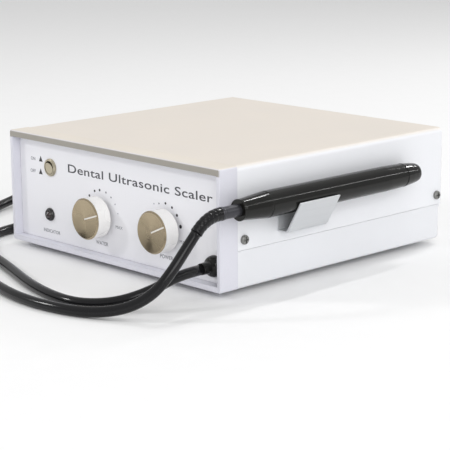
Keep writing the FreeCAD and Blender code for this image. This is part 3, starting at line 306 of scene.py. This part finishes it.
FINISHES = {
    "white_enamel": dict(colour=(0.82, 0.83, 0.86), roughness=0.42, grain=1400, depth=0.012, spread=0.012,
                         zones=[PAINTED_WARM_LIGHT_TOP], edge=0.3),
    "tray_enamel": dict(colour=(0.78, 0.79, 0.82), roughness=0.45, grain=1400, depth=0.012, spread=0.015,
                        edge=0.3),
    "bezel_grey": dict(colour=(0.70, 0.70, 0.765), roughness=0.5, grain=1800, depth=0.01, spread=0.03,
                       zones=[PAINTED_WARM_LIGHT_RAIL, PAINTED_SHADE_RAIL_FRONT], edge=0.3),
    "panel_aluminium": dict(colour=(0.78, 0.78, 0.79), roughness=0.35, grain=600, depth=0.01, spread=0.04,
                            metallic=1.0, stretch=(0.05, 1, 1)),
    "overlay_print": dict(colour=(0.85, 0.85, 0.885), roughness=0.5, grain=2600, depth=0.006, spread=0.012),
    "knob_aluminium": dict(colour=(0.90, 0.89, 0.87), roughness=0.26, grain=900, depth=0.002, spread=0.03,
                           metallic=0.15, anisotropy=0.85, zones=[PAINTED_REFLECTION_KNOB_FACE]),
    # The nickel's tan-olive tint is partly the metal's own warm colour and partly a painted warm reflection.
    "nickel": dict(colour=(0.50, 0.45, 0.34), roughness=0.28, grain=1500, depth=0.006, spread=0.05,
                   metallic=1.0),
    "dark_screw": dict(colour=(0.06, 0.06, 0.065), roughness=0.35, grain=1500, depth=0.01, spread=0.12,
                       metallic=0.8),
    "steel": dict(colour=(0.56, 0.56, 0.58), roughness=0.35, grain=1200, depth=0.008, spread=0.06,
                  metallic=1.0),
    "screw_grey": dict(colour=(0.24, 0.24, 0.23), roughness=0.4, grain=1500, depth=0.01, spread=0.1,
                       metallic=0.6),
    "gunmetal": dict(colour=(0.05, 0.05, 0.058), roughness=0.32, grain=1300, depth=0.006, spread=0.12,
                     metallic=0.5),
    "bezel_black": dict(colour=(0.018, 0.018, 0.018), roughness=0.3, grain=1500, depth=0.004, spread=0.15),
    "stainless": dict(colour=(0.60, 0.615, 0.635), roughness=0.42, grain=900, depth=0.008, spread=0.04,
                      metallic=0.15, stretch=(1, 0.04, 1), edge=0.25),
    "brass": dict(colour=(0.72, 0.54, 0.27), roughness=0.3, grain=1100, depth=0.01, spread=0.06,
                  metallic=1.0),
    "black_gloss": dict(colour=(0.006, 0.006, 0.005), roughness=0.13, grain=1300, depth=0.0006, spread=0.2,
                        specular=0.3),
    "black_matte": dict(colour=(0.028, 0.028, 0.03), roughness=0.55, grain=1800, depth=0.02, spread=0.15),
    "black_rubber": dict(colour=(0.008, 0.008, 0.009), roughness=0.16, grain=1500, depth=0.004, spread=0.2,
                         specular=0.28),
    "foot_rubber": dict(colour=(0.04, 0.04, 0.042), roughness=0.7, grain=1200, depth=0.03, spread=0.15),
    "lamp_red": dict(colour=(0.035, 0.022, 0.022), roughness=0.14, grain=900, depth=0.003, spread=0.2,
                     coat=0.5),
    "board_green": dict(colour=(0.03, 0.18, 0.08), roughness=0.35, grain=700, depth=0.01, spread=0.2,
                        patches=160),
    "connector_white": dict(colour=(0.76, 0.74, 0.68), roughness=0.45, grain=1100, depth=0.01, spread=0.04),
    "can_blue": dict(colour=(0.05, 0.07, 0.16), roughness=0.3, grain=900, depth=0.006, spread=0.15),
    "heatsink_black": dict(colour=(0.05, 0.05, 0.055), roughness=0.45, grain=1300, depth=0.01, spread=0.12,
                           metallic=0.6),
    "core_steel": dict(colour=(0.16, 0.16, 0.17), roughness=0.5, grain=700, depth=0.02, spread=0.1,
                       metallic=0.7, stripes=("Y", 1000.0, (0.07, 0.07, 0.075))),
    "winding_tape": dict(colour=(0.72, 0.5, 0.1), roughness=0.4, grain=800, depth=0.012, spread=0.08,
                         stripes=("Z", 90.0, (0.6, 0.4, 0.07))),
    "copper_wire": dict(colour=(0.62, 0.28, 0.12), roughness=0.3, grain=900, depth=0.01, spread=0.1,
                        metallic=1.0, stripes=("Y", 1600.0, (0.25, 0.09, 0.04))),
    "nylon_clear": dict(colour=(0.7, 0.7, 0.66), roughness=0.35, grain=900, depth=0.006, spread=0.04),
    "hose_clear": dict(colour=(0.6, 0.66, 0.7), roughness=0.2, grain=900, depth=0.004, spread=0.04,
                       transmission=0.4),
}
FINISH = {name: surface(name, **look) for name, look in FINISHES.items()}
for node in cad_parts.values():
    wanted = node.data.materials[0].name.split(".")[0]
    node.data.materials[0] = FINISH[wanted]


def ink(name, colour, spread):
    return surface(name, colour, roughness=0.45, grain=2200, depth=0.004, spread=spread)


INK_BLACK = ink("print_black", (0.02, 0.02, 0.024), 0.25)
INK_DARK = ink("print_dark", (0.05, 0.05, 0.06), 0.2)
INK_GREY = ink("print_grey", (0.2, 0.2, 0.23), 0.15)
INK_PALE = ink("print_pale", (0.42, 0.42, 0.48), 0.1)
POINTER_WHITE = surface("pointer_white", (0.86, 0.83, 0.78), roughness=0.4, grain=1500, depth=0.006,
                        spread=0.03)


# ---- the handpiece's boot ----

PEN_X, PEN_Z = 107.1, 53.3              # the handpiece's middle line, which runs along Y
ADAPTER_END = -106.5                    # where the boot starts
BOOT_BEND_R = 24.0
BOOT_SWEEP = math.radians(44.0)
BOOT_R, BOOT_TAPER = 3.9, 0.45          # radius at its start, and what it loses on the way to its end
BOOT_GROOVES, GROOVE_DEPTH = 6, 0.16
GROOVES_FROM, GROOVES_TO = 0.12, 0.92   # the grooved stretch, as shares of the boot's length
BOOT_MOUTH = ((0.6, 3.55), (1.0, 3.6), (1.4, 3.5), (1.6, 3.25))     # (reach beyond the end, radius)
BOOT_SEAT_T, BOOT_SEAT_R = 0.02, 3.6
BOOT_STEPS, BOOT_SIDES = 60, 32


def boot_arc(angle):
    """The point of the boot's middle line where it has turned down by the angle."""
    return PEN_X, ADAPTER_END - BOOT_BEND_R * math.sin(angle), PEN_Z - BOOT_BEND_R * (1 - math.cos(angle))


def boot_line(reach):
    """A point on the line that leaves the boot's end, reach millimetres beyond it."""
    x, y, z = boot_arc(BOOT_SWEEP)
    return x, y - reach * math.cos(BOOT_SWEEP), z - reach * math.sin(BOOT_SWEEP)


def boot_radius(share):
    groove = 0.0
    if GROOVES_FROM < share < GROOVES_TO:
        groove = GROOVE_DEPTH * max(0.0, math.sin(2 * math.pi * share * BOOT_GROOVES))
    return BOOT_R - BOOT_TAPER * share - groove


def add_boot():
    """Ribbed soft boot that droops from the adapter and closes over the cord's end."""
    profile = [((PEN_X, ADAPTER_END + BOOT_SEAT_T, PEN_Z), BOOT_SEAT_R)]
    for i in range(BOOT_STEPS + 1):
        share = i / BOOT_STEPS
        profile.append((boot_arc(BOOT_SWEEP * share), boot_radius(share)))
    for reach, radius in BOOT_MOUTH:
        profile.append((boot_line(reach), radius))
    centres = [mm(*point) for point, radius in profile]
    radii = [radius * MM for point, radius in profile]
    boot = add_mesh("boot_ribbed", *swept(centres, radii, BOOT_SIDES), FINISH["black_rubber"])
    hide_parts("handpiece_boot")
    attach(boot, "handpiece")


# ---- cord ----

CORD_D = 6.2
CORD_SIDES = 18
FLOOR_Z = 3.15              # height of the cord's middle where it lies on the floor
GLAND_RUN = [
    (87.3, -103.0, 17.4), (87.3, -120.0, 17.4), (85.0, -138.0, 11.3), (74.0, -153.0, 5.6),
    (57.0, -163.0, FLOOR_Z), (38.0, -166.0, FLOOR_Z), (4.0, -160.0, FLOOR_Z), (-44.0, -142.0, FLOOR_Z),
    (-90.0, -128.0, FLOOR_Z), (-118.0, -106.0, FLOOR_Z), (-128.0, -72.0, FLOOR_Z), (-125.0, -38.0, FLOOR_Z),
    (-119.6, -8.0, FLOOR_Z), (-117.6, 18.0, FLOOR_Z),
]
HANDPIECE_RUN = [
    (-196.4, 16.0, 9.35), (-197.0, -8.0, 8.15), (-191.0, -38.0, 3.95), (-173.0, -76.0, FLOOR_Z),
    (-143.0, -109.0, FLOOR_Z), (-104.0, -134.0, FLOOR_Z), (-62.0, -156.0, FLOOR_Z), (-20.0, -172.0, FLOOR_Z),
    (20.0, -181.0, FLOOR_Z), (53.0, -179.0, FLOOR_Z), (74.5, -171.5, 3.4), (90.0, -161.0, 6.4),
    (100.5, -150.8, 14.2), (105.8, -141.6, 26.3),
]
BOOT_ENTRY = (10.5, 0.5)    # how far from the boot's end the cord's last two points lie

COIL_AT = (-157.0, 30.0)
TURNS = 5.5
TURN_STEP = 22.5            # degrees between the coil's control points
OUTER_TURN = 39.4           # radius of the outermost turn
PITCH = 6.2
SHIFT_FROM, SHIFT_OVER = 190.0, 160.0   # each turn moves to the next radius in this part of the circle
CLIMB_BULGE = 1.8           # how far the turn that climbs a layer swings inwards


def ease(share):
    """0 below 0, 1 above 1, and a smooth rise in between."""
    share = min(max(share, 0.0), 1.0)
    return share * share * (3 - 2 * share)


def coil_points():
    """Two layers of about three turns: inwards on the floor, up one layer, outwards on top.

    The middle of a quadratic spline's span lies at (1, 6, 1) / 8 of its control points, so points on a circle
    are moved outwards by the inverse of that.
    """
    stretch = 1 / ((6 + 2 * math.cos(math.radians(TURN_STEP))) / 8)
    points = []
    for i in range(round(360 * TURNS / TURN_STEP) + 1):
        angle = i * TURN_STEP
        shifts = [ease((angle - SHIFT_FROM - 360 * k) / SHIFT_OVER) for k in range(5)]
        radius = OUTER_TURN - PITCH * (shifts[0] + shifts[1]) + PITCH * (shifts[3] + shifts[4])
        height = FLOOR_Z + PITCH * shifts[2]
        climb = (angle - SHIFT_FROM - 360 * 2) / SHIFT_OVER
        if 0 < climb < 1:
            radius -= CLIMB_BULGE * math.sin(math.pi * climb)
        turn = math.radians(angle)
        points.append((COIL_AT[0] + radius * stretch * math.cos(turn),
                       COIL_AT[1] + radius * stretch * math.sin(turn), height))
    return points


def line_through(points):
    """The points of the smooth line that has these route points as its control points."""
    data = bpy.data.curves.new("route", "CURVE")
    data.dimensions = "3D"
    data.resolution_u = 5
    spline = data.splines.new("NURBS")
    spline.points.add(len(points) - 1)
    for target, point in zip(spline.points, points):
        target.co = (*mm(*point), 1.0)
    spline.order_u = 3
    spline.use_endpoint_u = True
    mesh = mesh_of(data)
    line = [v.co.copy() for v in mesh.vertices]
    bpy.data.meshes.remove(mesh)
    return line


def add_cord():
    """One smooth tube from the gland by way of the coil to the boot, held at both ends."""
    cord_line = line_through(GLAND_RUN + coil_points() + HANDPIECE_RUN + [boot_line(r) for r in BOOT_ENTRY])
    radii = [CORD_D / 2 * MM] * len(cord_line)
    cord = add_mesh("handpiece_cord", *swept(cord_line, radii, CORD_SIDES), FINISH["black_rubber"])
    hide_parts("cord_gland_run", "cord_handpiece_run", "cord_coil")
    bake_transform(cord)


# ---- tie round the coil ----

TIE_W, TIE_T = 10.0, 1.0
TIE_CORNER_R, TIE_EDGE_R = 3.4, 0.4
TIE_INNER, TIE_OUTER = 23.3, 42.9       # from the coil's middle to the strap's middle line, along Y
TIE_LOW, TIE_HIGH = 0.62, 13.05         # heights of that line below and above the bundle
TIE_CORNER_STEPS, TIE_EDGE_STEPS = 8, 3


def add_tie():
    """A soft strap round the bundle of turns, with rounded corners and edges."""
    middle_y = COIL_AT[1] + (TIE_INNER + TIE_OUTER) / 2
    middle_z = (TIE_LOW + TIE_HIGH) / 2
    loop = list(rounded_rectangle(TIE_OUTER - TIE_INNER, TIE_HIGH - TIE_LOW, TIE_CORNER_R, TIE_CORNER_STEPS))
    section = list(rounded_rectangle(TIE_W, TIE_T, TIE_EDGE_R, TIE_EDGE_STEPS))
    vertices, faces = [], []
    for y, z, out_y, out_z in loop:
        for across, out, _, _ in section:
            vertices.append(mm(COIL_AT[0] + across, middle_y + y + out_y * out, middle_z + z + out_z * out))
    for i in range(len(loop)):
        faces += ring_faces(i, (i + 1) % len(loop), len(section))
    tie = add_mesh("tie_strap", vertices, faces, FINISH["black_matte"])
    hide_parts("coil_tie")
    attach(tie, "cabinet")


add_cord()
add_boot()
add_tie()


# ---- prints on the panel ----

PANEL_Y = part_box("panel_overlay")[0].y / MM
PRINT_T = 0.05              # how far a print stands out of the panel
PRINT_SINK = 0.01           # how deep it is set into it
PRINT_BEVEL = 0.01
CAPITAL_SHARE = 0.7         # height of a capital letter, as a share of the font's size
LETTER_SPACING = 1.05
TITLE_WEIGHT, LABEL_WEIGHT = 0.06, 0.04     # how much the strokes are thickened
MARK_HALF_W, MARK_TOP, MARK_FOOT = 1.9, 1.9, 1.8    # a triangle's reach sideways, up and down
DOT_SIDES = 20


def print_shape(name, outline, material):
    plate = bevelled_plate(outline, PANEL_Y - PRINT_T, PANEL_Y + PRINT_SINK, PRINT_BEVEL)
    shape = add_mesh(name, *plate, material, smooth=False)
    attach(shape, "cabinet")


def print_dot(name, x, z, radius, material):
    turns = [2 * math.pi * k / DOT_SIDES for k in range(DOT_SIDES)]
    outline = [(x + radius * math.cos(turn), z + radius * math.sin(turn)) for turn in turns]
    print_shape(name, outline, material)


def print_triangle(name, x, z, material):
    outline = [(x - MARK_HALF_W, z - MARK_FOOT), (x + MARK_HALF_W, z - MARK_FOOT), (x, z + MARK_TOP)]
    print_shape(name, outline, material)


def print_word(name, text, x, z, height, material, weight=0.0, width=None):
    """A word centred on x with its foot at z, and stretched to a width if one is given."""
    data = bpy.data.curves.new(name, "FONT")
    data.body = text
    data.size = height * MM / CAPITAL_SHARE
    data.extrude = PRINT_T * MM / 2
    data.offset = weight * MM
    data.align_x = "CENTER"
    data.resolution_u = 6
    data.space_character = LETTER_SPACING
    mesh = mesh_of(data)
    if width:
        span = max(v.co.x for v in mesh.vertices) - min(v.co.x for v in mesh.vertices)
        mesh.transform(Matrix.Diagonal((width * MM / span, 1, 1, 1)))
    at = mm(x, PANEL_Y - PRINT_T / 2 + PRINT_SINK, z)
    mesh.transform(Matrix.Translation(at) @ Matrix.Rotation(math.pi / 2, 4, "X"))
    mesh.materials.clear()
    mesh.materials.append(material)
    word = bpy.data.objects.new(name, mesh)
    bpy.context.scene.collection.objects.link(word)
    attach(word, "cabinet")


print_word("word_title", "Dental Ultrasonic Scaler", 19.5, 54.2, 5.2, INK_DARK, TITLE_WEIGHT, width=132.0)
print_word("word_on", "ON", -81.8, 57.4, 2.1, INK_GREY, LABEL_WEIGHT)
print_word("word_off", "OFF", -82.2, 49.4, 2.1, INK_GREY, LABEL_WEIGHT)
print_word("word_indicator", "INDICATOR", -64.6, 12.2, 2.1, INK_GREY, LABEL_WEIGHT, width=17.0)
print_word("word_water", "WATER", -14.2, 12.8, 2.3, INK_GREY, LABEL_WEIGHT)
print_word("word_power", "POWER", 45.6, 14.4, 2.3, INK_GREY, LABEL_WEIGHT)
print_word("word_water_max", "MAX", 2.4, 25.4, 2.1, INK_GREY)
print_word("word_power_max", "MAX", 60.7, 25.9, 2.1, INK_GREY)

print_triangle("mark_on", -73.8, 59.1, INK_BLACK)
print_triangle("mark_off", -74.2, 50.9, INK_BLACK)

WATER_DOTS_AT, WATER_DOTS_R = (-13.9, 31.2), 16
WATER_DOTS = ((136, 0.8, INK_BLACK), (113, 0.8, INK_BLACK), (95, 0.8, INK_BLACK), (73, 0.65, INK_GREY),
              (54, 0.55, INK_GREY), (35, 0.55, INK_PALE), (13.6, 0.5, INK_PALE))    # (angle, radius, ink)
for i, (angle, radius, material) in enumerate(WATER_DOTS):
    turn = math.radians(angle)
    print_dot("water_dot_%d" % i, WATER_DOTS_AT[0] + WATER_DOTS_R * math.cos(turn),
              WATER_DOTS_AT[1] + WATER_DOTS_R * math.sin(turn), radius, material)

POWER_DOTS = ((35.2, 46.2, 0.5, INK_PALE), (39.7, 47.0, 0.55, INK_GREY), (45.5, 48.0, 0.75, INK_BLACK),
              (51.2, 46.3, 0.8, INK_BLACK), (55.4, 42.3, 0.9, INK_BLACK),
              (58.4, 36.0, 1.15, INK_BLACK))                                        # (x, z, radius, ink)
for i, (x, z, radius, material) in enumerate(POWER_DOTS):
    print_dot("power_dot_%d" % i, x, z, radius, material)


# ---- pointer paint on the knobs ----

WATER_AT = (-14.8, 31.0)
POWER_AT = (46.9, 32.6)
POINTER_FROM, POINTER_TO, POINTER_HALF_W = 0.3, 11.9, 0.44      # along the groove from the knob's middle
POINTER_DEPTH, POINTER_T, POINTER_BEVEL = 0.2, 0.35, 0.06       # its face lies this deep in the groove


def add_pointer(name, knob, at, angle, body):
    """A bright strip lying in the knob's groove."""
    x, z = at
    turn = math.radians(angle)
    ux, uz = math.cos(turn), math.sin(turn)
    corners = [(POINTER_FROM, -POINTER_HALF_W), (POINTER_TO, -POINTER_HALF_W), (POINTER_TO, POINTER_HALF_W),
               (POINTER_FROM, POINTER_HALF_W)]
    outline = [(x + a * ux - b * uz, z + a * uz + b * ux) for a, b in corners]
    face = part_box(knob)[0].y / MM + POINTER_DEPTH
    plate = bevelled_plate(outline, face, face + POINTER_T, POINTER_BEVEL)
    strip = add_mesh(name, *plate, POINTER_WHITE, smooth=False)
    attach(strip, body)


add_pointer("water_pointer", "water_knob", WATER_AT, 18.0, "water_control")
add_pointer("power_pointer", "power_knob", POWER_AT, 24.0, "power_control")


# ---- studio, in metres and watts ----

FLOOR_HALF = 6.0
WORLD_STRENGTH = 0.63
LIT_POINT = (0, 0, 0.04)
GLINT_X, GLINT_Z = 0.107, 0.053     # the handpiece's middle line, which the glints are aimed at
GLINT_AWAY = 1.5


def add_floor():
    corners = [(-FLOOR_HALF, -FLOOR_HALF, 0), (FLOOR_HALF, -FLOOR_HALF, 0), (FLOOR_HALF, FLOOR_HALF, 0),
               (-FLOOR_HALF, FLOOR_HALF, 0)]
    matte = surface("studio_floor", (0.9, 0.9, 0.9), roughness=0.8, grain=60, depth=0.01, spread=0.01,
                    patches=1.5)
    floor = add_mesh("studio_floor", corners, [(0, 1, 2, 3)], matte, smooth=False)


def add_world():
    world = bpy.data.worlds.new("studio")
    bpy.context.scene.world = world
    tree = empty_tree(world)
    back = add_node(tree, "ShaderNodeBackground", {"Color": (1.0, 1.0, 1.0, 1.0), "Strength": WORLD_STRENGTH})
    add_node(tree, "ShaderNodeOutputWorld", {"Surface": back.outputs["Background"]})


def area_light(name, size, power, at, turn):
    data = bpy.data.lights.new(name, "AREA")
    data.shape = "RECTANGLE"
    data.size, data.size_y = size
    data.energy = power
    light = bpy.data.objects.new(name, data)
    light.matrix_world = Matrix.Translation(at) @ turn.to_4x4()
    bpy.context.scene.collection.objects.link(light)


def add_light(name, at, size, power):
    """A light that faces the object."""
    direction = Vector(LIT_POINT) - Vector(at)
    area_light(name, size, power, at, direction.to_track_quat("-Z", "Y").to_matrix())


def add_glint(name, y, direction, size, radiance):
    """A narrow light of a known brightness whose reflection lies along the handpiece at y."""
    out = Vector(direction).normalized()
    side = Vector((0, 1, 0))
    side = (side - out * side.dot(out)).normalized()
    at = Vector((GLINT_X, y, GLINT_Z)) + out * GLINT_AWAY
    turn = Matrix((side, out.cross(side), out)).transposed()
    area_light(name, size, radiance * math.pi * size[0] * size[1], at, turn)


add_floor()
add_world()
add_light("key", (0.9, -0.4, 1.5), (0.5, 1.6), 3.0)
add_light("front", (-1.2, -1.25, 1.0), (0.25, 0.25), 7.2)
add_light("fill", (1.5, -0.9, 0.75), (1.1, 0.9), 10.8)
add_glint("body_line", -0.02, (0.58, 0.671, 0.46), (1.2, 0.03), 16.0)
add_glint("tail_spot", -0.082, (-0.10, 0.54, 0.84), (0.22, 0.05), 90.0)
add_glint("nose_spot", 0.053, (-0.08, 0.83, 0.55), (0.16, 0.05), 90.0)

bpy.context.scene.view_settings.view_transform = "Standard"
